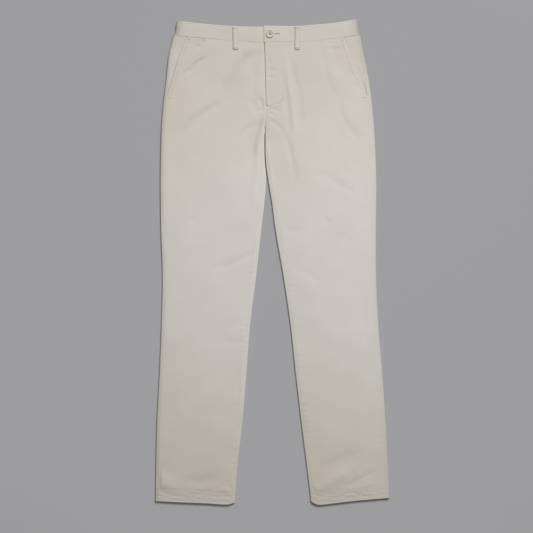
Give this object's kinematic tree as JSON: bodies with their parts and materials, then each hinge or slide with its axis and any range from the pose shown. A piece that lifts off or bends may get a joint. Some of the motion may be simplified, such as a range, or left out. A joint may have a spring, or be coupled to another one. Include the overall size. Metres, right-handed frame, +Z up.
{
  "type": "chino trousers laid flat",
  "caption": "Slim flat-front cotton trousers laid flat face up, with slanted pockets, a buttoned waistband, belt loops and plain hems.",
  "frame": {"origin": "centre of the underside's bounding box, on the surface that the trousers lie on", "axes": "+Y from the hems to the waist, +Z up out of the front, +X to the wearer's left"},
  "size_m": [0.5142, 1.0658, 0.0104],
  "materials": {
    "cotton_twill": "matt cotton twill, stone colour",
    "button_resin": "polished cast resin, stone colour"
  },
  "bodies": {
    "root": {"front_right": "cotton_twill", "front_left": "cotton_twill", "back_right": "cotton_twill", "back_left": "cotton_twill", "pocket_facing_right": "cotton_twill", "pocket_facing_left": "cotton_twill", "hem_turnup_right": "cotton_twill", "hem_turnup_left": "cotton_twill", "waistband_right": "cotton_twill", "waistband_left": "cotton_twill", "belt_loop_front_right": "cotton_twill", "belt_loop_front_left": "cotton_twill", "belt_loop_back_right": "cotton_twill", "belt_loop_back_centre": "cotton_twill", "belt_loop_back_left": "cotton_twill", "button": "button_resin"}
  },
  "joints": []
}
